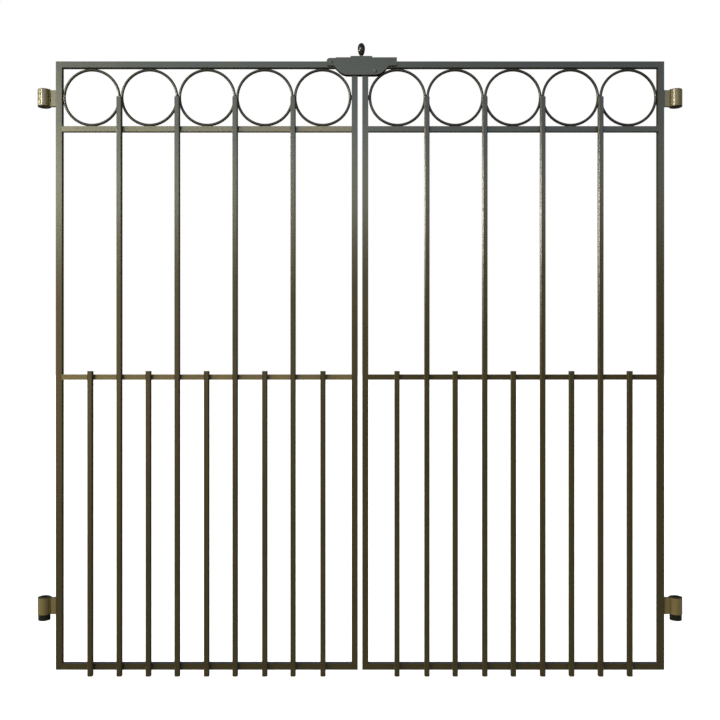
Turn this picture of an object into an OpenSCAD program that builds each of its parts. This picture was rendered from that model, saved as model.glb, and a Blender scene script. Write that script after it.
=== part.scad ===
/* [Leaf] */
// Width of one leaf over its two stiles
leaf_w = 1000; // [800:1:1400]
// Height of the welded frame
leaf_h = 2015; // [1700:1:2400]
// Clear gap between the two meeting stiles
leaf_gap = 15; // [10:1:30]
// Side of the square bar in the stiles and rails
frame_bar = 20; // [16:1:30]
// Side of the lighter square bar in the ring rail and the mid rail
inner_bar = 17.5; // [12:0.5:20]
// Height of the mid rail's top face above the frame's foot
mid_rail_top = 978; // [800:1:1100]

/* [Rings] */
// Diameter of the round bar in the rings
ring_bar = 9; // [6:0.5:14]
// Clear height between the top rail and the ring rail, past the outside of a ring
ring_slack = 2.8; // [0.4:0.1:4]
// Length that the row of rings leaves free between the stiles
ring_play = 1.8; // [0.2:0.1:4]
// Clearance of a ring to its neighbour
ring_fit = 0.1; // [0.05:0.05:0.3]

/* [Infill bars] */
// Side of the square infill bar
infill_bar = 17; // [12:1:22]
// Width that the chamfers take off each face of the infill bar
infill_chamfer = 2.5; // [1:0.5:4]
// Reach of the bars below the bottom rail
bar_foot = 16.5; // [5:0.5:60]
// Rise of the dog bars above the mid rail
dog_rise = 11.5; // [4:0.5:60]
// Distance of the dog bars from the middles of their bays, towards the meeting stile
dog_shift = 1.3; // [0:0.1:6]
// Length that the spacing of the tall bars has less than a bay
tall_squeeze = 0.9; // [0:0.1:4]
// Distance of the tall bars' tops below the centres of the rings
tall_drop = 3.5; // [0:0.5:20]

/* [Hinges] */
// Outside diameter of a hinge eye
eye_od = 42; // [34:1:50]
// Bore of a hinge eye
eye_bore = 20; // [16:1:24]
// Height of a hinge eye
eye_h = 58; // [40:1:80]
// Rounding of an eye's outer rims
eye_round = 2; // [1:0.5:4]
// Distance from the stile's outer face to the hinge axis
hinge_offset = 41.5; // [35:0.5:60]
// Height of the strap between an eye and the stile
strap_h = 54; // [30:1:60]
// Thickness of the strap
strap_t = 12; // [6:1:16]
// Distance of a strap's middle below the middle of its eye
strap_drop = 0.8; // [0:0.1:2]
// Height of the lower hinge's middle above the frame's foot
bottom_hinge_z = 211; // [150:1:400]
// Distance of the upper hinge's middle below the frame's top
top_hinge_drop = 120; // [80:1:300]
// Outside diameter of the collar under a lower eye
collar_od = 39; // [30:1:44]
// Height of the collar
collar_h = 18; // [10:0.5:40]
// Depth of the two grooves around the collar
collar_groove = 1; // [0.5:0.5:2]
// Radial running clearance of a pin in its eye
pin_fit = 0.05; // [0.02:0.01:0.09]
// Clearance between a collar and the eye that rests on it
seat_gap = 0.3; // [0.2:0.1:1]
// Height of the pin's end above its eye
pin_proud = 3; // [1:0.5:10]
// Chamfer on the pin's end
pin_chamfer = 1.5; // [0.5:0.5:3]

/* [Latch hood] */
// Thickness of the hood's cheek
cheek_t = 3; // [2:0.5:6]
// Clearance between the cheek and the front of the frame
cheek_gap = 5; // [5:0.5:8]
// Thickness of the hood's top flange
flange_t = 4; // [2:0.5:6]
// Clearance between the flange and the top rail
flange_gap = 6.8; // [5:0.1:12]
// Distance of the hood's middle to the right of the gate's middle
hood_shift = 4.5; // [0:0.5:10]
// Depth of the keel below the hood's top
keel_depth = 57.3; // [45:0.1:80]
// Width of the keel where it leaves the straight part
keel_w = 184; // [150:1:220]
// Height of the hood's straight part
hood_h = 27; // [22:0.5:32]
// Corner radius at the foot of the keel
keel_r = 43; // [10:1:50]
// Reach of the hood past the gate's middle on the right
hood_right = 122; // [110:1:150]
// Radius of the hood's lower right corner
hood_r = 6; // [2:0.5:10]
// Reach of the pivot tab past the gate's middle on the left
tab_left = 110; // [100:1:140]
// Distance of the tab's top below the flange's top
tab_step = 2; // [1:0.5:6]
// Length of the tab's end that the flange leaves bare
tab_len = 30; // [25:1:45]
// Corner radius of the tab
tab_r = 10; // [4:1:10]

/* [Latch knob and fixings] */
// Length of the raised block
block_w = 72; // [50:1:100]
// Height of the raised block
block_h = 4.5; // [2:0.1:8]
// Largest diameter of the knob
knob_d = 24.5; // [18:0.5:32]
// Height of the knob's egg
knob_h = 40.5; // [30:0.5:60]
// Diameter of the knob's neck
neck_d = 10; // [6:1:14]
// Height of the knob's neck under the egg
neck_h = 7; // [3:0.5:15]
// Diameter of the pivot stud
stud_d = 8; // [6:0.5:10]
// Diameter of the stud's shoulder
stud_shoulder_d = 11; // [11:0.5:16]
// Diameter of the stud's domed head
stud_head_d = 13; // [11:0.5:16]
// Height of the stud's domed head
stud_head_t = 3; // [1.5:0.5:4]
// Distance of the stud from the tab's end
stud_in = 14; // [10:0.5:18]
// Distance of the stud's axis below the top of the frame
stud_drop = 4.5; // [4:0.5:10]
// Diameter of the cheek rivet's head
rivet_d = 14; // [8:0.5:16]
// Height of the cheek rivet's domed head
rivet_t = 3.5; // [1:0.5:4]
// Distance of the cheek rivet to the right of the hood's middle
rivet_x = 45.5; // [30:0.5:60]
// Height of the cheek rivet above the keel's foot
rivet_z = 12; // [8:0.5:20]

/* [Keeper] */
// Thickness of the keeper plate
keeper_t = 3; // [2:0.5:6]
// Clearance between the keeper plate and the left stile
keeper_gap = 5; // [5:0.5:8]
// Height of the keeper's foot above the keel's foot
keeper_rise = 4.5; // [0:0.1:12]
// Distance of the keeper's top below the top of the frame
keeper_drop = 5; // [3:0.5:10]

/* [Hidden] */
$fn = 96;
// Number of rings, and so of bays, in one leaf
ring_count = 5;
hair = 0.01;
stile_in = leaf_gap / 2;
stile_out = stile_in + leaf_w;
rail_in = stile_in + frame_bar;
rail_out = stile_out - frame_bar;
leaf_mid = (rail_in + rail_out) / 2;
bay = (rail_out - rail_in) / ring_count;
ring_pitch = bay - ring_play / ring_count;
ring_od = ring_pitch - ring_fit;
rail_under = leaf_h - frame_bar;
ring_rail_top = rail_under - ring_od - ring_slack;
ring_z = (rail_under + ring_rail_top) / 2;
hinge_x = stile_out + hinge_offset;
mid_y = frame_bar / 2;
top_hinge_z = leaf_h - top_hinge_drop;
collar_top = bottom_hinge_z - eye_h / 2 - seat_gap;
pin_foot = collar_top - collar_h;
hood_top = leaf_h + flange_gap + flange_t;
keel_foot = hood_top - keel_depth;
cheek_y = -cheek_gap - cheek_t;
stud_x = stud_in - tab_left;
stud_z = leaf_h - stud_drop;
keeper_y = frame_bar + keeper_gap;
iron = [0.27, 0.24, 0.17];
iron_light = [0.45, 0.41, 0.31];
iron_dark = [0.10, 0.09, 0.07];

// The origin is the middle of the left collar's underside, on the left hinge axis.
module place() {
  translate([hinge_x, -mid_y, -pin_foot])
    children();
}

// Every leaf piece is drawn for the right leaf, and the left one is its mirror image.
module leaf(side) {
  place()
    mirror([side == "left" ? 1 : 0, 0, 0])
      children();
}

module stile(side, x) {
  color(iron)
    leaf(side)
      translate([x, 0, 0])
        cube([frame_bar, frame_bar, leaf_h]);
}

module rail(side, top, bar) {
  color(iron)
    leaf(side)
      translate([rail_in, 0, top - bar])
        cube([rail_out - rail_in, bar, bar]);
}

// Ring 1 is next to the hanging stile.
module ring(side, index) {
  color(iron)
    leaf(side)
      translate([leaf_mid + ((ring_count + 1) / 2 - index) * ring_pitch, mid_y, ring_z])
        rotate([90, 0, 0])
          rotate_extrude()
            translate([(ring_od - ring_bar) / 2, 0])
              circle(d = ring_bar);
}

module bar_section() {
  half = infill_bar / 2;
  flat = half - infill_chamfer;
  translate([0, -half])
    polygon([
      [-flat, -half], [flat, -half], [half, -flat], [half, flat],
      [flat, half], [-flat, half], [-half, flat], [-half, -flat]
    ]);
}

// Square bars with chamfered corners, their backs on the front of the frame.
module infill(side, places, top) {
  color(iron)
    leaf(side)
      for (x = places)
        translate([x, 0, -bar_foot])
          linear_extrude(top + bar_foot)
            bar_section();
}

module tall_bars(side) {
  pitch = bay - tall_squeeze;
  infill(side, [for (i = [1:ring_count - 1]) leaf_mid + (i - ring_count / 2) * pitch],
    ring_z - tall_drop);
}

module dog_bars(side) {
  infill(side, [for (i = [1:ring_count]) rail_in + (i - 0.5) * bay - dog_shift],
    mid_rail_top + dog_rise);
}

// Half section of an eye, its outer corners rounded.
module eye_section() {
  wall = (eye_od - eye_bore) / 2;
  translate([eye_bore / 2, 0])
    square([wall - eye_round, eye_h]);
  translate([eye_bore / 2, eye_round])
    square([wall, eye_h - 2 * eye_round]);
  for (z = [eye_round, eye_h - eye_round])
    translate([eye_od / 2 - eye_round, z])
      circle(r = eye_round, $fn = 32);
}

module eye(side, z) {
  color(iron_light)
    leaf(side)
      translate([hinge_x, mid_y, z - eye_h / 2])
        rotate_extrude()
          eye_section();
}

// Flat strap, scooped to the eye at one end and butted on the stile at the other.
module strap(side, z) {
  color(iron_light)
    leaf(side)
      difference() {
        translate([stile_out, mid_y - strap_t / 2, z - strap_h / 2 - strap_drop])
          cube([hinge_offset, strap_t, strap_h]);
        translate([hinge_x, mid_y, z - strap_h])
          cylinder(d = eye_od, h = 2 * strap_h);
      }
}

// Pin with its collar, which has the look of three stacked rings.
// The lower eye of the leaf turns on it.
module hinge_pin(side) {
  shaft_r = eye_bore / 2 - pin_fit;
  shaft_top = seat_gap + eye_h + pin_proud;
  grooves = [for (z = [collar_h / 3, 2 * collar_h / 3], s = [-1, 0, 1])
    [collar_od / 2 - (s == 0 ? collar_groove : 0), z + s * collar_groove / 2]];
  color(iron_dark)
    leaf(side)
      translate([hinge_x, mid_y, pin_foot])
        rotate_extrude()
          polygon(concat(
            [[0, 0], [collar_od / 2, 0]],
            grooves,
            [
              [collar_od / 2, collar_h],
              [shaft_r, collar_h],
              [shaft_r, collar_h + shaft_top - pin_chamfer],
              [shaft_r - pin_chamfer, collar_h + shaft_top],
              [0, collar_h + shaft_top]
            ]
          ));
}

// Outline of a boat-shaped cheek: sides at 45 degrees and a foot with round corners.
module keel(width, top, foot) {
  half = width / 2;
  run = top - foot;
  bevel = keel_r * tan(22.5);
  knee = half - run;
  polygon([
    [-half, top],
    [half, top],
    [knee + bevel * cos(45), foot + bevel * sin(45)],
    [knee - bevel, foot],
    [bevel - knee, foot],
    [-knee - bevel * cos(45), foot + bevel * sin(45)]
  ]);
  intersection() {
    for (s = [-1, 1])
      translate([s * (knee - bevel), foot + keel_r])
        circle(r = keel_r);
    translate([-half, foot])
      square([width, run]);
  }
}

module tab_end() {
  top = hood_top - tab_step;
  foot = hood_top - hood_h;
  translate([tab_r - tab_left, foot])
    square([tab_len, top - foot]);
  translate([-tab_left, foot + tab_r])
    square([tab_len, top - foot - 2 * tab_r]);
  for (z = [foot + tab_r, top - tab_r])
    translate([tab_r - tab_left, z])
      circle(r = tab_r);
}

module upright(y, depth) {
  translate([0, y + depth, 0])
    rotate([90, 0, 0])
      linear_extrude(depth)
        children();
}

// Right end of the cheek under the flange, its lower corner rounded.
module hood_end() {
  foot = hood_top - hood_h;
  start = hood_right - 2 * hood_r;
  translate([start, foot + hood_r])
    square([2 * hood_r, hood_h - hood_r]);
  translate([start, foot])
    square([hood_r, hood_h]);
  translate([hood_right - hood_r, foot + hood_r])
    circle(r = hood_r);
}

// Domed head that stands on the plane z = 0.
module domed_head(d, t) {
  dome_r = (pow(d / 2, 2) + pow(t, 2)) / (2 * t);
  intersection() {
    translate([0, 0, t - dome_r])
      sphere(r = dome_r);
    cylinder(d = 2 * d, h = 2 * t);
  }
}

// One folded plate: the cheek in front of both meeting stiles and the flange over them.
module latch_hood() {
  flange_left = tab_len - tab_left;
  color(iron)
    place() {
      difference() {
        upright(cheek_y, cheek_t) {
          translate([hood_shift, 0])
            keel(keel_w, hood_top - hood_h, keel_foot);
          translate([flange_left, hood_top - hood_h])
            square([hood_right - flange_left - hood_r, hood_h]);
          hood_end();
          tab_end();
        }
        translate([stud_x, cheek_y - cheek_t, stud_z])
          rotate([-90, 0, 0])
            cylinder(r = stud_d / 2 + pin_fit, h = 3 * cheek_t);
      }
      translate([flange_left, cheek_y + cheek_t - hair, hood_top - flange_t])
        cube([hood_right - flange_left, cheek_gap + frame_bar + hair, flange_t]);
    }
}

module latch_block() {
  color(iron)
    place()
      translate([hood_shift - block_w / 2, cheek_y, hood_top])
        cube([block_w, frame_bar - cheek_y, block_h]);
}

// Egg on a neck: fuller below the middle than above it.
module latch_knob() {
  widest = neck_h + 0.55 * knob_h;
  rise = neck_h + knob_h - widest;
  fall = widest - neck_h + 4;
  steps = 24;
  cut = asin(sqrt(1 - pow(neck_d / knob_d, 2)));
  color(iron_dark)
    place()
      translate([hood_shift, mid_y + cheek_y / 2, hood_top + block_h])
        rotate_extrude()
          polygon(concat(
            [[0, 0], [neck_d / 2, 0]],
            [for (i = [0:steps - 1])
              let (a = -cut + i * (90 + cut) / steps)
              [knob_d / 2 * cos(a), widest + (a < 0 ? fall : rise) * sin(a)]],
            [[0, neck_h + knob_h]]
          ));
}

// Shouldered stud on the left leaf's top rail, with a head in front of the cheek.
module latch_stud() {
  color(iron_dark)
    place()
      translate([stud_x, 0, stud_z])
        rotate([90, 0, 0]) {
          cylinder(d = stud_shoulder_d, h = cheek_gap - seat_gap);
          cylinder(d = stud_d, h = seat_gap - cheek_y + hair);
          translate([0, 0, seat_gap - cheek_y])
            domed_head(stud_head_d, stud_head_t);
        }
}

// Domed head on the front of the cheek.
module latch_rivet() {
  color(iron)
    place()
      translate([hood_shift + rivet_x, cheek_y, keel_foot + rivet_z])
        rotate([90, 0, 0])
          domed_head(rivet_d, rivet_t);
}

// Plate behind both meeting stiles, on a packer welded to the right one.
module latch_keeper() {
  foot = keel_foot + keeper_rise;
  color(iron_dark)
    place() {
      upright(keeper_y, keeper_t)
        translate([hood_shift, 0]) {
          keel(keel_w, hood_top - hood_h + keeper_rise, foot);
          translate([-keel_w / 2, hood_top - hood_h + keeper_rise - hair])
            square([keel_w, leaf_h - keeper_drop - hood_top + hood_h - keeper_rise + hair]);
        }
      translate([stile_in, frame_bar, foot])
        cube([frame_bar, keeper_gap + hair, leaf_h - keeper_drop - foot]);
    }
}

stile("left", rail_out);  // left_hanging_stile
stile("left", stile_in);  // left_meeting_stile
rail("left", leaf_h, frame_bar);  // left_top_rail
rail("left", ring_rail_top, inner_bar);  // left_ring_rail
rail("left", mid_rail_top, inner_bar);  // left_mid_rail
rail("left", frame_bar, frame_bar);  // left_bottom_rail
stile("right", rail_out);  // right_hanging_stile
stile("right", stile_in);  // right_meeting_stile
rail("right", leaf_h, frame_bar);  // right_top_rail
rail("right", ring_rail_top, inner_bar);  // right_ring_rail
rail("right", mid_rail_top, inner_bar);  // right_mid_rail
rail("right", frame_bar, frame_bar);  // right_bottom_rail
ring("left", 1);  // left_ring_1
ring("left", 2);  // left_ring_2
ring("left", 3);  // left_ring_3
ring("left", 4);  // left_ring_4
ring("left", 5);  // left_ring_5
ring("right", 1);  // right_ring_1
ring("right", 2);  // right_ring_2
ring("right", 3);  // right_ring_3
ring("right", 4);  // right_ring_4
ring("right", 5);  // right_ring_5
tall_bars("left");  // left_tall_bars
tall_bars("right");  // right_tall_bars
dog_bars("left");  // left_dog_bars
dog_bars("right");  // right_dog_bars
eye("left", top_hinge_z);  // left_top_eye
eye("left", bottom_hinge_z);  // left_bottom_eye
eye("right", top_hinge_z);  // right_top_eye
eye("right", bottom_hinge_z);  // right_bottom_eye
strap("left", top_hinge_z);  // left_top_strap
strap("left", bottom_hinge_z);  // left_bottom_strap
strap("right", top_hinge_z);  // right_top_strap
strap("right", bottom_hinge_z);  // right_bottom_strap
hinge_pin("left");  // left_hinge_pin
hinge_pin("right");  // right_hinge_pin
latch_hood();
latch_block();
latch_knob();
latch_stud();
latch_rivet();
latch_keeper();
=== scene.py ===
import math

import bpy
from bpy.props import FloatProperty, FloatVectorProperty, PointerProperty
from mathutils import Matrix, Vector


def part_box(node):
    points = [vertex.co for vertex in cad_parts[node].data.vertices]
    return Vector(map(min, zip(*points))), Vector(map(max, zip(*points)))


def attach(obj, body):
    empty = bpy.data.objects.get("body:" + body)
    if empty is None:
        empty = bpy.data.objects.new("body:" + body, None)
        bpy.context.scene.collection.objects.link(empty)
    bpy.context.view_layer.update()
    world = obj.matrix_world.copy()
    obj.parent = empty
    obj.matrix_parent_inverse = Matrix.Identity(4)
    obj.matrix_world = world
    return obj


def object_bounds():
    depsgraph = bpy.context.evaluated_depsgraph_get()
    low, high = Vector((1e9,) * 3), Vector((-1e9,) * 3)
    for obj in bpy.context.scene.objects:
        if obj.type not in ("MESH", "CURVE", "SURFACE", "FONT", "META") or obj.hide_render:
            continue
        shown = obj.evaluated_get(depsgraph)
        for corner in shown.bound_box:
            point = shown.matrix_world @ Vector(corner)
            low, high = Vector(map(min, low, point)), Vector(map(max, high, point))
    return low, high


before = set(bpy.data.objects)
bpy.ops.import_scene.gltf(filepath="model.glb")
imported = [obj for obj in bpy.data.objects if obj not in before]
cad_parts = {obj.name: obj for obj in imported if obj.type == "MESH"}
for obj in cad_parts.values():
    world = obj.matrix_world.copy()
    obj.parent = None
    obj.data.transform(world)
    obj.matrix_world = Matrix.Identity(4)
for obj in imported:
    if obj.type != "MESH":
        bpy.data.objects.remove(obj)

bl_info = {
    "name": "Wrought iron driveway gate",
    "version": (1, 0, 0),
    "blender": (4, 5, 0),
    "location": "View3D > Sidebar > Gate",
    "description": "Paint, steel, welds and studio for a pair of wrought iron gate leaves",
    "category": "Object",
}

CAD_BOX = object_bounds()
SIDES = ("left", "right")
RING_COUNT = 5
FRONT_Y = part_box("left_top_rail")[0].y
CENTRE_X = (CAD_BOX[0].x + CAD_BOX[1].x) / 2
FOOT_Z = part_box("left_meeting_stile")[0].z
UP = Vector((0, 0, 1))
ACROSS = Vector((1, 0, 0))

# The painted iron's patches and grain: noise scales are per metre, and each span is
# the range of its input that a mask or a swing runs over.
PATCH_SCALE = 7.0
PATCH_DETAIL = 4.0
PATCH_SPAN = (0.3, 0.7)
GRAIN_DETAIL = 3.0
# The facing and ended spans also set where flanks, ends and undersides take painted shade.
FACING_SPAN = (0.35, 0.65)
ENDED_SPAN = (0.08, 0.4)
# Upward faces blend toward a blue-grey that is partly a dusting and partly a painted skylight
# from above.
DUST_AND_SKYLIGHT_SPAN = (0.5, 0.98)
DUST_AND_SKYLIGHT_COLOUR = (0.07, 0.08, 0.11, 1.0)
ROUGHNESS_SWING = 0.05

# The weld bead: a tube of few sides whose radius ripples along it. The radius falls off
# at the ends as the root of the dome's top less a power of the distance from the middle.
BEAD_SIDES = 8
SECTIONS_PER_RIPPLE = 4.0
RIPPLE_DEPTH = 0.1
DOME_TOP = 1.02
DOME_POWER = 6.0
BEAD_SCALE = (0.85, 1.1)
BEAD_RELIEF = 0.00008

# How far the middle of a bead is sunk behind an edge or stands past it, in its radii.
BAR_BEAD_SUNK = 0.2
BAR_BEAD_PROUD = 0.25
EYE_BEAD_PROUD = 0.1
STRAP_BEAD_PROUD = 0.2
TACK_SUNK = 0.6

# The tacks beside the rings lie on both faces, at this share of the depth there is.
# The tacks on the rails are longer and thinner than those by these shares.
SIDE_TACK_DEPTH = 0.45
RAIL_TACK_LENGTH = 1.3
RAIL_TACK_RADIUS = 0.8

# Every set of beads draws its random scales from its own seed.
BAR_SEED = 11
HINGE_SEED = 3
SIDE_TACK_SEED = 5
RAIL_TACK_SEED = 6

# Name, left and right of the gate's middle, foot and top above the camera's height,
# whether only gloss shows it, radiance. They stand on one plane in front of the gate.
SOFTBOX_DISTANCE = 4.3
SOFTBOXES = (
    ("far left upper softbox", -2.7, -2.1, 1.68, 3.0, False, (0.6, 4.0, 7.6)),
    ("left upper softbox", -2.1, -1.2, 1.68, 3.0, False, (4.4, 7.4, 9.6)),
    ("far left lower softbox", -3.4, -2.2, 1.12, 1.68, False, (31.0, 34.0, 25.0)),
    ("left lower softbox", -2.2, -1.2, 1.12, 1.68, False, (21.0, 23.0, 17.5)),
    ("middle upper softbox", -1.2, 0.35, 1.68, 3.0, True, (4.3, 6.6, 9.0)),
    ("middle lower softbox", -1.2, 0.35, 1.12, 1.68, True, (17.0, 18.0, 16.0)),
    ("right upper softbox", 0.35, 3.4, 1.68, 3.0, True, (1.8, 3.9, 6.5)),
    ("right lower softbox", 0.35, 3.4, 1.12, 1.68, True, (6.6, 7.6, 7.4)),
    ("far left glow", -3.4, -2.2, -1.0, 0.85, False, (6.0, 4.2, 2.0)),
    ("left glow", -2.2, -1.4, -0.7, 0.75, True, (3.4, 2.6, 1.6)),
    ("middle glow", -1.4, -0.2, -0.6, 0.6, True, (1.4, 1.3, 1.1)),
)

# Name, place and target from the gate's middle, its front and the camera's height,
# width, height, share of the strips' power, colour. Only gloss shows them.
STRIPS = (
    ("flank strip", (-4.5, -1.0, 1.36), (0.0, -0.6, 0.6), 1.7, 0.7, 0.48, (1.0, 0.95, 0.82)),
    ("eye strip", (-4.06, -4.82, 2.6), (0.0, 0.0, 0.9), 0.6, 1.3, 1.15, (1.0, 0.93, 0.66)),
)

# Name, its setting, and the way that the light goes. Gloss doesn't show them.
SUNS = (
    ("key", "key_power", (0.72, 0.6, -0.34)),
    ("back fill", "fill_power", (0.1, -0.85, -0.4)),
)
SUN_ANGLE = math.radians(50)

FLOOR_REACH = 60.0
FLOOR_GLOW = 0.87


class GateSizes(bpy.types.PropertyGroup):
    """Sizes of what the looks add to the gate"""

    bead_radius: FloatProperty(
        name="Bead radius", description="Radius of a weld bead beside a bar",
        default=0.0022, min=0.001, max=0.004, unit="LENGTH")
    bead_length: FloatProperty(
        name="Bead length", description="Length of a weld bead beside a bar",
        default=0.016, min=0.005, max=0.02, unit="LENGTH")
    tack_radius: FloatProperty(
        name="Tack radius", description="Radius of the tacks that hold the rings",
        default=0.0028, min=0.001, max=0.004, unit="LENGTH")
    tack_length: FloatProperty(
        name="Tack length", description="Length of a tack between two rings",
        default=0.016, min=0.005, max=0.03, unit="LENGTH")
    hinge_bead_radius: FloatProperty(
        name="Hinge bead radius", description="Radius of the beads beside the hinge eyes",
        default=0.0024, min=0.001, max=0.004, unit="LENGTH")
    ripple_pitch: FloatProperty(
        name="Ripple pitch", description="Distance between the ripples of a weld bead",
        default=0.0022, min=0.001, max=0.005, unit="LENGTH")


class GateFinishes(bpy.types.PropertyGroup):
    """Colours and roughness of the gate's finishes"""

    paint: FloatVectorProperty(
        name="Paint", description="Dark bronze paint of the bars, rings and latch plates",
        default=(0.0235, 0.0158, 0.0010), min=0, max=1, size=3, subtype="COLOR")
    gloss: FloatProperty(
        name="Gloss", description="Specular level of the semi-gloss paint",
        default=0.15, min=0, max=1, subtype="FACTOR")
    face_roughness: FloatProperty(
        name="Face roughness", description="Roughness of the paint on the front and back faces",
        default=0.25, min=0, max=1, subtype="FACTOR")
    flank_roughness: FloatProperty(
        name="Flank roughness", description="Roughness of the paint on the flanks and undersides",
        default=1.0, min=0, max=1, subtype="FACTOR")
    # The left leaf's inner rails are lightened as painted light, standing in for light that falls
    # on them.
    rail_painted_light: FloatVectorProperty(
        name="Rail painted light", description="Bronze lightened as painted light on the left leaf's inner rails",
        default=(0.087, 0.062, 0.022), min=0, max=1, size=3, subtype="COLOR")
    hinge_paint: FloatVectorProperty(
        name="Hinge paint", description="Lighter bronze of the eyes and straps",
        default=(0.100, 0.072, 0.023), min=0, max=1, size=3, subtype="COLOR")
    hinge_roughness: FloatProperty(
        name="Hinge roughness", description="Roughness of the hinge paint",
        default=0.22, min=0, max=1, subtype="FACTOR")
    # The stud and rivet heads are lightened to the plate's gloss-lit tone as a painted
    # reflection.
    head_painted_reflection: FloatVectorProperty(
        name="Head painted reflection", description="Paint lightened as a painted reflection on the latch's stud and rivet heads",
        default=(0.060, 0.063, 0.052), min=0, max=1, size=3, subtype="COLOR")
    dark_steel: FloatVectorProperty(
        name="Dark steel", description="Oiled steel of the pins and the keeper",
        default=(0.010, 0.008, 0.004), min=0, max=1, size=3, subtype="COLOR")
    knob_bronze: FloatVectorProperty(
        name="Knob bronze", description="Dark bronze of the latch knob",
        default=(0.010, 0.007, 0.004), min=0, max=1, size=3, subtype="COLOR")
    weld_colour: FloatVectorProperty(
        name="Weld colour", description="Painted weld beads and tacks",
        default=(0.024, 0.015, 0.002), min=0, max=1, size=3, subtype="COLOR")


class StageSettings(bpy.types.PropertyGroup):
    """Camera and studio"""

    distance: FloatProperty(
        name="Camera distance", description="Distance from the camera to the front of the frame",
        default=2.878, min=1, max=10, unit="LENGTH")
    height: FloatProperty(
        name="Camera height", description="Height of the camera above the foot of the frame",
        default=1.026, min=0, max=3, unit="LENGTH")
    lens: FloatProperty(
        name="Lens", description="Focal length on a 36 mm sensor",
        default=43.455, min=20, max=100, unit="CAMERA")
    ground_gap: FloatProperty(
        name="Ground gap", description="Height of the lowest bar above the floor",
        default=0.06, min=0, max=0.3, unit="LENGTH")
    ambient: FloatProperty(
        name="Ambient", description="Strength of the soft light from all round",
        default=0.14, min=0, max=2)
    floor_tone: FloatProperty(
        name="Floor tone", description="Brightness of the pale floor",
        default=0.5, min=0, max=1, subtype="FACTOR")
    softbox_power: FloatProperty(
        name="Softbox power", description="Strength of the softboxes in front of the gate",
        default=1.0, min=0, max=5)
    strip_power: FloatProperty(
        name="Strip power", description="Radiance of the strips that only gloss shows",
        default=300.0, min=0, max=2000)
    key_power: FloatProperty(
        name="Key power", description="Strength of the broad soft key from the left",
        default=3.3, min=0, max=20)
    fill_power: FloatProperty(
        name="Fill power", description="Strength of the soft fill behind the gate",
        default=2.5, min=0, max=20)


class NodeDesk:
    """Adds nodes to a tree. An input's value is a plain value or another node's output."""

    def __init__(self, tree):
        self.tree = tree

    def feed(self, socket, value):
        if isinstance(value, bpy.types.NodeSocket):
            self.tree.links.new(value, socket)
        else:
            socket.default_value = value

    def add(self, kind, inputs=None, **settings):
        node = self.tree.nodes.new(kind)
        for name, value in settings.items():
            setattr(node, name, value)
        for name, value in (inputs or {}).items():
            self.feed(node.inputs[name], value)
        return node

    def maths(self, operation, *values):
        node = self.add("ShaderNodeMath", operation=operation)
        for socket, value in zip(node.inputs, values):
            self.feed(socket, value)
        return node.outputs["Value"]

    def ramp(self, value, span, low=0.0, high=1.0):
        """Runs from low to high as the value goes over the span, and stays there."""
        node = self.add("ShaderNodeMapRange", {
            "Value": value, "From Min": span[0], "From Max": span[1],
            "To Min": low, "To Max": high})
        return node.outputs["Result"]

    def blend(self, factor, at_zero, at_one):
        node = self.add("ShaderNodeMix", {"Factor": factor, "A": at_zero, "B": at_one})
        return node.outputs["Result"]


def declare_sockets(tree, inputs, outputs):
    """Each socket is a name and a kind."""
    for in_out, sockets in (("INPUT", inputs), ("OUTPUT", outputs)):
        for name, kind in sockets:
            tree.interface.new_socket(name=name, in_out=in_out, socket_type=kind)


def fresh_material(name):
    material = bpy.data.materials.new(name)
    material.use_nodes = True
    nodes = material.node_tree.nodes
    shader = next(n for n in nodes if n.type == "BSDF_PRINCIPLED")
    return material, NodeDesk(material.node_tree), shader


def shaded(colour, share):
    return [share * part for part in colour]


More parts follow.
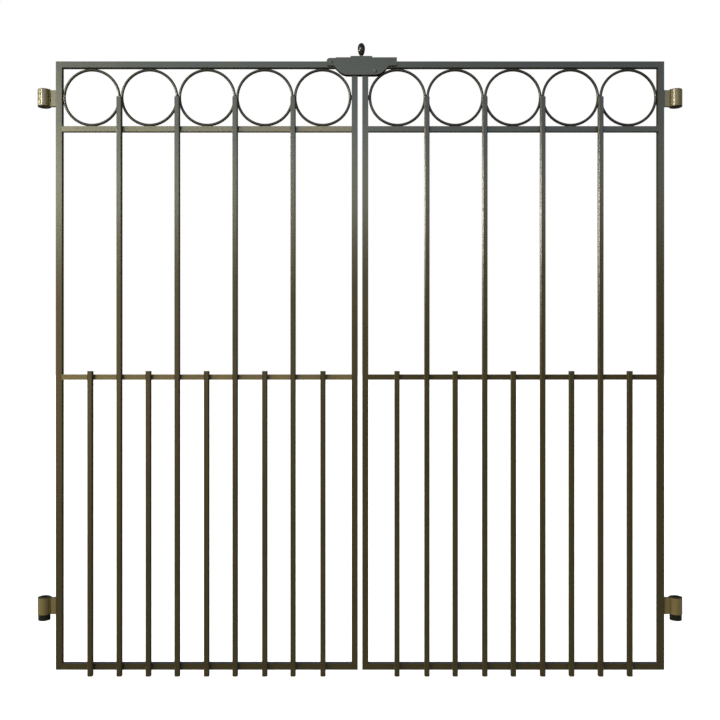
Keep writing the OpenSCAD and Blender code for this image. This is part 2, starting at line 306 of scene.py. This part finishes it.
def painted_iron_group():
    """Slow patches, fine grain, and a dusting with painted skylight on top, shared by every
    finish.

    Faces that look along Y keep the face roughness. Flanks, ends and undersides take the flank
    roughness and a painted shade that darkens the paint there.
    """
    found = bpy.data.node_groups.get("painted iron")
    if found:
        return found
    tree = bpy.data.node_groups.new("painted iron", "ShaderNodeTree")
    declare_sockets(tree, (
        ("Paint", "NodeSocketColor"),
        ("Mottle", "NodeSocketFloat"),
        ("Face roughness", "NodeSocketFloat"),
        ("Flank roughness", "NodeSocketFloat"),
        ("Flank shade", "NodeSocketFloat"),
        ("End shade", "NodeSocketFloat"),
        ("Grain scale", "NodeSocketFloat"),
        ("Dust", "NodeSocketFloat"),
    ), (
        ("Colour", "NodeSocketColor"),
        ("Roughness", "NodeSocketFloat"),
        ("Height", "NodeSocketFloat"),
    ))
    desk = NodeDesk(tree)
    entry = desk.add("NodeGroupInput").outputs
    place = desk.add("ShaderNodeTexCoord").outputs
    normal = desk.add("ShaderNodeSeparateXYZ", {"Vector": place["Normal"]}).outputs

    patches = desk.add("ShaderNodeTexNoise", {
        "Scale": PATCH_SCALE, "Detail": PATCH_DETAIL, "Vector": place["Object"]}).outputs["Fac"]
    grain = desk.add("ShaderNodeTexNoise", {
        "Scale": entry["Grain scale"], "Detail": GRAIN_DETAIL,
        "Vector": place["Object"]}).outputs["Fac"]

    facing = desk.ramp(desk.maths("ABSOLUTE", normal["Y"]), FACING_SPAN)
    ended = desk.ramp(desk.maths("ABSOLUTE", normal["Z"]), ENDED_SPAN)
    bright = desk.maths("MULTIPLY", facing, desk.blend(ended, 1.0, 0.0))

    mottle = desk.maths("MULTIPLY_ADD", desk.ramp(patches, PATCH_SPAN, -1.0, 1.0),
                        entry["Mottle"], 1.0)
    # Flanks, ends and undersides are darkened here as painted shade.
    shade = desk.maths("MULTIPLY", desk.blend(facing, entry["Flank shade"], 1.0),
                       desk.blend(ended, 1.0, entry["End shade"]))
    tone = desk.add("ShaderNodeVectorMath", operation="SCALE")
    desk.feed(tone.inputs[0], entry["Paint"])
    desk.feed(tone.inputs["Scale"], desk.maths("MULTIPLY", shade, mottle))
    # Upward faces turn blue-grey: partly a dusting, partly a painted skylight.
    dust_and_skylight_share = desk.maths("MULTIPLY", desk.ramp(normal["Z"], DUST_AND_SKYLIGHT_SPAN), entry["Dust"])
    with_dust_and_skylight = desk.add("ShaderNodeMix", {
        "Factor": dust_and_skylight_share, "A": tone.outputs["Vector"], "B": DUST_AND_SKYLIGHT_COLOUR}, data_type="RGBA")

    swing = desk.ramp(patches, (0.0, 1.0), -ROUGHNESS_SWING, ROUGHNESS_SWING)
    roughness = desk.maths("ADD", swing, desk.blend(bright, entry["Flank roughness"],
                                                    entry["Face roughness"]))
    desk.add("NodeGroupOutput", {
        "Colour": with_dust_and_skylight.outputs["Result"], "Roughness": roughness, "Height": grain})
    return tree


def painted(name, colour, roughness, flank=None, specular=0.15, mottle=0.1, grain=420.0,
            bump=0.000006, dust_and_skylight=0.25, flank_painted_shade=1.0, end_painted_shade=1.0):
    """A painted or oiled finish: the shared group feeding its own Principled shader."""
    material, desk, shader = fresh_material(name)
    coat = desk.add("ShaderNodeGroup", node_tree=painted_iron_group())
    for socket, value in (("Paint", (*colour, 1.0)),
                          ("Mottle", mottle),
                          ("Face roughness", roughness),
                          ("Flank roughness", roughness if flank is None else flank),
                          ("Flank shade", flank_painted_shade),
                          ("End shade", end_painted_shade),
                          ("Grain scale", grain),
                          ("Dust", dust_and_skylight)):
        coat.inputs[socket].default_value = value
    relief = desk.add("ShaderNodeBump", {
        "Strength": 1.0, "Distance": bump, "Height": coat.outputs["Height"]})
    for socket, value in (("Base Color", coat.outputs["Colour"]),
                          ("Roughness", coat.outputs["Roughness"]),
                          ("Normal", relief.outputs["Normal"]),
                          ("Specular IOR Level", specular)):
        desk.feed(shader.inputs[socket], value)
    return material


def dress(nodes, material):
    """Gives CAD nodes their finish, in the slots that they have."""
    for name in nodes:
        for material_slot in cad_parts[name].material_slots:
            material_slot.material = material


def each_side(*names):
    return [f"{side}_{name}" for side in SIDES for name in names]


class GATE_OT_frame_paint(bpy.types.Operator):
    """Paints the stiles, rails, rings and infill bars"""

    bl_idname = "gate.frame_paint"
    bl_label = "Paint the bars and rings"

    def execute(self, context):
        look = context.scene.gate_finishes
        # The bars' flanks, ends and undersides get painted shade.
        bars = painted("bar paint", look.paint, look.face_roughness, look.flank_roughness,
                       look.gloss, flank_painted_shade=0.6, end_painted_shade=0.6)
        # The rings take the bar paint at half brightness as painted shade.
        rings = painted("ring paint", shaded(look.paint, 0.5), 0.22, look.flank_roughness,
                        0.8 * look.gloss, grain=500.0, flank_painted_shade=0.3, end_painted_shade=0.6)
        # Lighter rails on the left leaf only: painted light.
        rails = painted("rail paint", look.rail_painted_light, look.face_roughness,
                        look.flank_roughness, look.gloss, flank_painted_shade=0.4)
        dress(each_side("hanging_stile", "meeting_stile", "top_rail", "ring_rail", "mid_rail",
                        "bottom_rail", "tall_bars", "dog_bars"), bars)
        dress(["left_ring_rail", "left_mid_rail"], rails)
        dress(each_side(*[f"ring_{i + 1}" for i in range(RING_COUNT)]), rings)
        return {"FINISHED"}


class GATE_OT_hinge_finish(bpy.types.Operator):
    """Finishes the hinge eyes, straps and pins"""

    bl_idname = "gate.hinge_finish"
    bl_label = "Finish the hinges"

    def execute(self, context):
        look = context.scene.gate_finishes
        # The eyes' flanks and ends are darkened as painted shade, the ends nearly to black.
        bronze = painted("hinge paint", look.hinge_paint, look.hinge_roughness, flank=1.0,
                         specular=0.15, grain=260.0, bump=0.000003, dust_and_skylight=0.0,
                         flank_painted_shade=0.5, end_painted_shade=0.02)
        steel = painted("pin steel", shaded(look.dark_steel, 0.6), 0.3, flank=1.0,
                        specular=0.06, dust_and_skylight=0.0)
        dress(each_side("top_eye", "bottom_eye", "top_strap", "bottom_strap"), bronze)
        dress(each_side("hinge_pin"), steel)
        return {"FINISHED"}


class GATE_OT_latch_finish(bpy.types.Operator):
    """Finishes the latch hood, its knob, stud and rivet, and the keeper"""

    bl_idname = "gate.latch_finish"
    bl_label = "Finish the latch"

    def execute(self, context):
        look = context.scene.gate_finishes
        plate = painted("latch paint", look.paint, look.face_roughness, look.flank_roughness,
                        look.gloss, mottle=0.06)
        steel = painted("keeper steel", look.dark_steel, 0.6, flank=0.9, specular=0.05,
                        dust_and_skylight=0.0)
        bronze = painted("knob bronze", look.knob_bronze, 0.11, specular=0.08, mottle=0.2,
                         bump=0.00001, dust_and_skylight=0.0)
        # The heads' lighter paint is a painted reflection matching the plate's gloss.
        heads = painted("head paint", look.head_painted_reflection, 0.5, flank=0.9, specular=0.06)
        dress(["latch_hood", "latch_block"], plate)
        dress(["latch_stud", "latch_rivet"], heads)
        dress(["latch_keeper"], steel)
        dress(["latch_knob"], bronze)
        return {"FINISHED"}


def bead_tree():
    """Weld beads: a rippled bead on each point, along the point's own direction."""
    found = bpy.data.node_groups.get("weld beads")
    if found:
        return found
    tree = bpy.data.node_groups.new("weld beads", "GeometryNodeTree")
    declare_sockets(tree, (
        ("Geometry", "NodeSocketGeometry"),
        ("Length", "NodeSocketFloat"),
        ("Radius", "NodeSocketFloat"),
        ("Ripple pitch", "NodeSocketFloat"),
        ("Seed", "NodeSocketInt"),
        ("Finish", "NodeSocketMaterial"),
    ), (
        ("Geometry", "NodeSocketGeometry"),
    ))
    desk = NodeDesk(tree)
    entry = desk.add("NodeGroupInput").outputs

    half = desk.maths("MULTIPLY", entry["Length"], 0.5)
    low = desk.add("ShaderNodeCombineXYZ", {"Z": desk.maths("MULTIPLY", half, -1.0)})
    high = desk.add("ShaderNodeCombineXYZ", {"Z": half})
    spine = desk.add("GeometryNodeCurvePrimitiveLine", {
        "Start": low.outputs["Vector"], "End": high.outputs["Vector"]})
    ripples = desk.maths("DIVIDE", entry["Length"], entry["Ripple pitch"])
    steps = desk.add("GeometryNodeResampleCurve", {
        "Curve": spine.outputs["Curve"],
        "Count": desk.maths("MULTIPLY", ripples, SECTIONS_PER_RIPPLE)})

    along = desk.add("GeometryNodeSplineParameter").outputs["Factor"]
    turn = desk.maths("MULTIPLY", desk.maths("MULTIPLY", along, ripples), 2 * math.pi)
    ripple = desk.maths("MULTIPLY_ADD", desk.maths("SINE", turn), RIPPLE_DEPTH, 1.0)
    centred = desk.maths("ABSOLUTE", desk.maths("MULTIPLY_ADD", along, 2.0, -1.0))
    dome = desk.maths("SQRT", desk.maths("SUBTRACT", DOME_TOP,
                                         desk.maths("POWER", centred, DOME_POWER)))
    shaped = desk.add("GeometryNodeSetCurveRadius", {
        "Curve": steps.outputs["Curve"], "Radius": desk.maths("MULTIPLY", ripple, dome)})
    section = desk.add("GeometryNodeCurvePrimitiveCircle", {
        "Resolution": BEAD_SIDES, "Radius": entry["Radius"]})
    swept = desk.add("GeometryNodeCurveToMesh", {
        "Curve": shaped.outputs["Curve"],
        "Profile Curve": section.outputs["Curve"],
        "Scale": desk.add("GeometryNodeInputRadius").outputs["Radius"],
        "Fill Caps": True})

    direction = desk.add("GeometryNodeInputNamedAttribute", {"Name": "run"},
                         data_type="FLOAT_VECTOR")
    turned = desk.add("FunctionNodeAlignRotationToVector", {
        "Vector": direction.outputs["Attribute"]}, axis="Z")
    chance = desk.add("FunctionNodeRandomValue", {
        "Min": BEAD_SCALE[0], "Max": BEAD_SCALE[1], "Seed": entry["Seed"]}, data_type="FLOAT")
    placed = desk.add("GeometryNodeInstanceOnPoints", {
        "Points": entry["Geometry"], "Instance": swept.outputs["Mesh"],
        "Rotation": turned.outputs["Rotation"], "Scale": chance.outputs["Value"]})
    real = desk.add("GeometryNodeRealizeInstances", {"Geometry": placed.outputs["Instances"]})
    finish = desk.add("GeometryNodeSetMaterial", {
        "Geometry": real.outputs["Geometry"], "Material": entry["Finish"]})
    desk.add("NodeGroupOutput", {"Geometry": finish.outputs["Geometry"]})
    return tree


def lay_beads(name, body, spots, length, radius, pitch, seed, material):
    """Lays a bead on each spot, a place and a direction, as one plain mesh on the body."""
    points = bpy.data.meshes.new(name + " points")
    points.from_pydata([tuple(place) for place, _ in spots], [], [])
    runs = points.attributes.new("run", "FLOAT_VECTOR", "POINT")
    for item, (_, direction) in zip(runs.data, spots):
        item.vector = direction
    source = bpy.data.objects.new(name + " points", points)
    bpy.context.scene.collection.objects.link(source)
    modifier = source.modifiers.new("beads", "NODES")
    modifier.node_group = bead_tree()
    values = {"Length": length, "Radius": radius, "Ripple pitch": pitch, "Seed": seed,
              "Finish": material}
    for item in modifier.node_group.interface.items_tree:
        if item.item_type == "SOCKET" and item.in_out == "INPUT" and item.name in values:
            modifier[item.identifier] = values[item.name]
    graph = bpy.context.evaluated_depsgraph_get()
    mesh = bpy.data.meshes.new_from_object(source.evaluated_get(graph))
    bpy.data.objects.remove(source)
    if not mesh.polygons:
        raise RuntimeError(name + " came out empty")
    for polygon in mesh.polygons:
        polygon.use_smooth = True
    piece = bpy.data.objects.new(name, mesh)
    bpy.context.scene.collection.objects.link(piece)
    if not mesh.materials:
        mesh.materials.append(material)
    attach(piece, body)
    return piece


def bar_middles(node, count):
    """The x of each bar in a node of evenly spaced bars."""
    low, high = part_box(node)
    half = (high.y - low.y) / 2
    step = (high.x - low.x - 2 * half) / (count - 1)
    return [low.x + half + i * step for i in range(count)]


class GATE_OT_bar_welds(bpy.types.Operator):
    """Lays the weld beads where the infill bars cross the rails"""

    bl_idname = "gate.bar_welds"
    bl_label = "Weld the bars to the rails"

    def execute(self, context):
        sizes = context.scene.gate_sizes
        look = context.scene.gate_finishes
        paint = painted("weld paint", look.weld_colour, 0.5, flank=0.9, bump=BEAD_RELIEF)
        bar_low, bar_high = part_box("left_dog_bars")
        bar = bar_high.y - bar_low.y
        aside = bar / 2 - sizes.bead_radius * BAR_BEAD_SUNK
        proud_y = FRONT_Y - sizes.bead_radius * BAR_BEAD_PROUD
        for side in SIDES:
            tall = bar_middles(side + "_tall_bars", RING_COUNT - 1)
            dogs = bar_middles(side + "_dog_bars", RING_COUNT)
            spots = []
            for rail, bars in (("ring_rail", tall), ("mid_rail", tall + dogs),
                               ("bottom_rail", tall + dogs)):
                low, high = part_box(f"{side}_{rail}")
                middle = (low.z + high.z) / 2
                spots += [(Vector((x + sign * aside, proud_y, middle)), UP)
                          for x in bars for sign in (-1, 1)]
            lay_beads(f"{side}_bar_welds", f"{side}_leaf", spots, sizes.bead_length,
                      sizes.bead_radius, sizes.ripple_pitch, BAR_SEED, paint)
        return {"FINISHED"}


class GATE_OT_hinge_welds(bpy.types.Operator):
    """Lays the beads that join the hinge eyes to their straps"""

    bl_idname = "gate.hinge_welds"
    bl_label = "Weld the eyes to the straps"

    def execute(self, context):
        sizes = context.scene.gate_sizes
        look = context.scene.gate_finishes
        paint = painted("hinge weld paint", shaded(look.hinge_paint, 0.7), 0.4, flank=1.0,
                        specular=0.08, bump=BEAD_RELIEF, dust_and_skylight=0.0)
        bead = sizes.hinge_bead_radius
        for side, inward in zip(SIDES, (1, -1)):
            spots = []
            for place in ("top", "bottom"):
                low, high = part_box(f"{side}_{place}_eye")
                near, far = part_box(f"{side}_{place}_strap")
                eye = (high.x - low.x) / 2
                for y, out in ((near.y, -1), (far.y, 1)):
                    reach = math.sqrt(eye ** 2 - (y - (near.y + far.y) / 2) ** 2)
                    x = (low.x + high.x) / 2 + inward * (reach + bead * EYE_BEAD_PROUD)
                    middle = (low.z + high.z) / 2
                    spots.append((Vector((x, y + out * bead * STRAP_BEAD_PROUD, middle)), UP))
            lay_beads(f"{side}_hinge_welds", f"{side}_leaf", spots,
                      high.z - low.z - bead / 2, bead, sizes.ripple_pitch, HINGE_SEED, paint)
        return {"FINISHED"}


class GATE_OT_ring_tacks(bpy.types.Operator):
    """Lays the tacks that hold the rings to each other, to the stiles and to the rails"""

    bl_idname = "gate.ring_tacks"
    bl_label = "Tack the rings"

    def execute(self, context):
        sizes = context.scene.gate_sizes
        look = context.scene.gate_finishes
        paint = painted("tack paint", look.weld_colour, 0.6, flank=1.0, specular=0.1,
                        bump=BEAD_RELIEF)
        for side in SIDES:
            boxes = sorted((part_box(f"{side}_ring_{i + 1}") for i in range(RING_COUNT)),
                           key=lambda box: box[0].x)
            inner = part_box(side + "_top_rail")
            edges = [inner[0].x] + [(a[1].x + b[0].x) / 2 for a, b in zip(boxes, boxes[1:])]
            edges.append(inner[1].x)
            low, high = boxes[0]
            plane, middle = (low.y + high.y) / 2, (low.z + high.z) / 2
            depth = (high.y - low.y) / 2 - sizes.tack_radius * TACK_SUNK
            beside = [(Vector((x, plane + face * depth * SIDE_TACK_DEPTH, middle)), UP)
                      for face in (-1, 1) for x in edges]
            lay_beads(f"{side}_ring_side_tacks", f"{side}_leaf", beside, sizes.tack_length,
                      sizes.tack_radius, sizes.ripple_pitch, SIDE_TACK_SEED, paint)
            ends = [(Vector(((ring_low.x + ring_high.x) / 2, plane, z)), ACROSS)
                    for ring_low, ring_high in boxes for z in (low.z, high.z)]
            lay_beads(f"{side}_ring_rail_tacks", f"{side}_leaf", ends,
                      sizes.tack_length * RAIL_TACK_LENGTH,
                      sizes.tack_radius * RAIL_TACK_RADIUS, sizes.ripple_pitch,
                      RAIL_TACK_SEED, paint)
        return {"FINISHED"}


def sees_white(desk):
    """1 for camera, glossy and transmission rays."""
    path = desk.add("ShaderNodeLightPath").outputs
    seen = desk.maths("MAXIMUM", path["Is Camera Ray"], path["Is Glossy Ray"])
    return desk.maths("MAXIMUM", seen, path["Is Transmission Ray"])


def area_lamp(name, place, target, width, height, radiance, colour, gloss_only):
    """A lamp that the camera doesn't see, turned from its place to its target."""
    lamp = bpy.data.lights.new(name, "AREA")
    lamp.shape = "RECTANGLE"
    lamp.size = width
    lamp.size_y = height
    lamp.energy = radiance * math.pi * width * height
    lamp.color = colour
    holder = bpy.data.objects.new(name, lamp)
    holder.location = place
    holder.rotation_euler = (Vector(target) - Vector(place)).to_track_quat("-Z", "Y").to_euler()
    holder.visible_camera = False
    holder.visible_diffuse = not gloss_only
    bpy.context.scene.collection.objects.link(holder)


def lay_floor(scene, stage):
    """A pale floor that the camera and gloss see white, apart from the gate's shadow."""
    floor_z = CAD_BOX[0].z - stage.ground_gap
    mesh = bpy.data.meshes.new("floor")
    mesh.from_pydata([(CENTRE_X + x * FLOOR_REACH, y * FLOOR_REACH, floor_z)
                      for x, y in ((-1, -1), (1, -1), (1, 1), (-1, 1))], [], [(0, 1, 2, 3)])
    floor = bpy.data.objects.new("floor", mesh)
    scene.collection.objects.link(floor)
    material, desk, shader = fresh_material("pale floor")
    desk.tree.nodes.remove(shader)
    out = next(n for n in desk.tree.nodes if n.type == "OUTPUT_MATERIAL")
    dull = desk.add("ShaderNodeBsdfDiffuse", {"Color": (stage.floor_tone,) * 3 + (1,)})
    lit = desk.add("ShaderNodeEmission", {"Strength": FLOOR_GLOW})
    shown = desk.add("ShaderNodeAddShader")
    mix = desk.add("ShaderNodeMixShader")
    for socket, value in ((shown.inputs[0], dull.outputs[0]),
                          (shown.inputs[1], lit.outputs[0]),
                          (mix.inputs[0], sees_white(desk)),
                          (mix.inputs[1], dull.outputs[0]),
                          (mix.inputs[2], shown.outputs[0]),
                          (out.inputs["Surface"], mix.outputs[0])):
        desk.feed(socket, value)
    mesh.materials.append(material)


def light_world(scene, stage):
    """Soft light from all round, behind a white that the camera and gloss see."""
    world = bpy.data.worlds.new("studio")
    scene.world = world
    world.use_nodes = True
    world.node_tree.nodes.clear()
    desk = NodeDesk(world.node_tree)
    soft, white = (desk.add("ShaderNodeBackground", {"Color": (1, 1, 1, 1), "Strength": power})
                   for power in (stage.ambient, 1.0))
    mix = desk.add("ShaderNodeMixShader")
    out = desk.add("ShaderNodeOutputWorld")
    for socket, value in ((mix.inputs[0], sees_white(desk)),
                          (mix.inputs[1], soft.outputs[0]),
                          (mix.inputs[2], white.outputs[0]),
                          (out.inputs["Surface"], mix.outputs[0])):
        desk.feed(socket, value)


def hang_lamps(scene, stage, eye_z):
    """Softboxes and strips for the gloss, and two broad suns for the rest."""
    wall_y = FRONT_Y - SOFTBOX_DISTANCE
    for name, left, right, low, high, gloss_only, colour in SOFTBOXES:
        spot = (CENTRE_X + (left + right) / 2, wall_y, eye_z + (low + high) / 2)
        brightest = max(colour)
        area_lamp(name, spot, (spot[0], 0, spot[2]), right - left, high - low,
                  brightest * stage.softbox_power, [part / brightest for part in colour],
                  gloss_only)
    for name, place, target, width, height, share, colour in STRIPS:
        area_lamp(name, (CENTRE_X + place[0], FRONT_Y + place[1], eye_z + place[2]),
                  (CENTRE_X + target[0], FRONT_Y + target[1], eye_z + target[2]),
                  width, height, share * stage.strip_power, colour, True)
    for name, setting, heading in SUNS:
        sun = bpy.data.lights.new(name, "SUN")
        sun.energy = getattr(stage, setting)
        sun.angle = SUN_ANGLE
        lamp = bpy.data.objects.new(name, sun)
        lamp.rotation_euler = Vector(heading).to_track_quat("-Z", "Y").to_euler()
        lamp.visible_glossy = False
        scene.collection.objects.link(lamp)


def place_camera(scene, stage, eye_z):
    camera = bpy.data.cameras.new("camera")
    camera.lens = stage.lens
    camera.sensor_width = 36.0
    camera.clip_end = 200.0
    holder = bpy.data.objects.new("camera", camera)
    holder.location = (CENTRE_X, FRONT_Y - stage.distance, eye_z)
    holder.rotation_euler = (math.pi / 2, 0, 0)
    scene.collection.objects.link(holder)
    scene.camera = holder


class GATE_OT_stage(bpy.types.Operator):
    """Sets the floor, the white surround, the lamps and the camera"""

    bl_idname = "gate.stage"
    bl_label = "Set the stage"

    def execute(self, context):
        scene, stage = context.scene, context.scene.gate_stage
        eye_z = FOOT_Z + stage.height
        lay_floor(scene, stage)
        light_world(scene, stage)
        hang_lamps(scene, stage, eye_z)
        place_camera(scene, stage, eye_z)
        scene.view_settings.view_transform = "Standard"
        return {"FINISHED"}


STEPS = ("frame_paint", "hinge_finish", "latch_finish", "bar_welds", "ring_tacks",
         "hinge_welds", "stage")


class GATE_PT_panel(bpy.types.Panel):
    """Lists the gate's sizes, finishes and steps"""

    bl_idname = "GATE_PT_panel"
    bl_label = "Gate"
    bl_space_type = "VIEW_3D"
    bl_region_type = "UI"
    bl_category = "Gate"

    def draw(self, context):
        for group in (context.scene.gate_sizes, context.scene.gate_finishes,
                      context.scene.gate_stage):
            box = self.layout.box()
            for name in group.__annotations__:
                box.prop(group, name)
        for step in STEPS:
            self.layout.operator("gate." + step)


CLASSES = (GateSizes, GateFinishes, StageSettings, GATE_OT_frame_paint, GATE_OT_hinge_finish,
           GATE_OT_latch_finish, GATE_OT_bar_welds, GATE_OT_ring_tacks, GATE_OT_hinge_welds,
           GATE_OT_stage, GATE_PT_panel)


def register():
    for cls in CLASSES:
        bpy.utils.register_class(cls)
    bpy.types.Scene.gate_sizes = PointerProperty(type=GateSizes)
    bpy.types.Scene.gate_finishes = PointerProperty(type=GateFinishes)
    bpy.types.Scene.gate_stage = PointerProperty(type=StageSettings)


def unregister():
    del bpy.types.Scene.gate_sizes
    del bpy.types.Scene.gate_finishes
    del bpy.types.Scene.gate_stage
    for cls in reversed(CLASSES):
        bpy.utils.unregister_class(cls)


def main():
    register()
    for step in STEPS:
        getattr(bpy.ops.gate, step)()


if __name__ == "__main__":
    main()
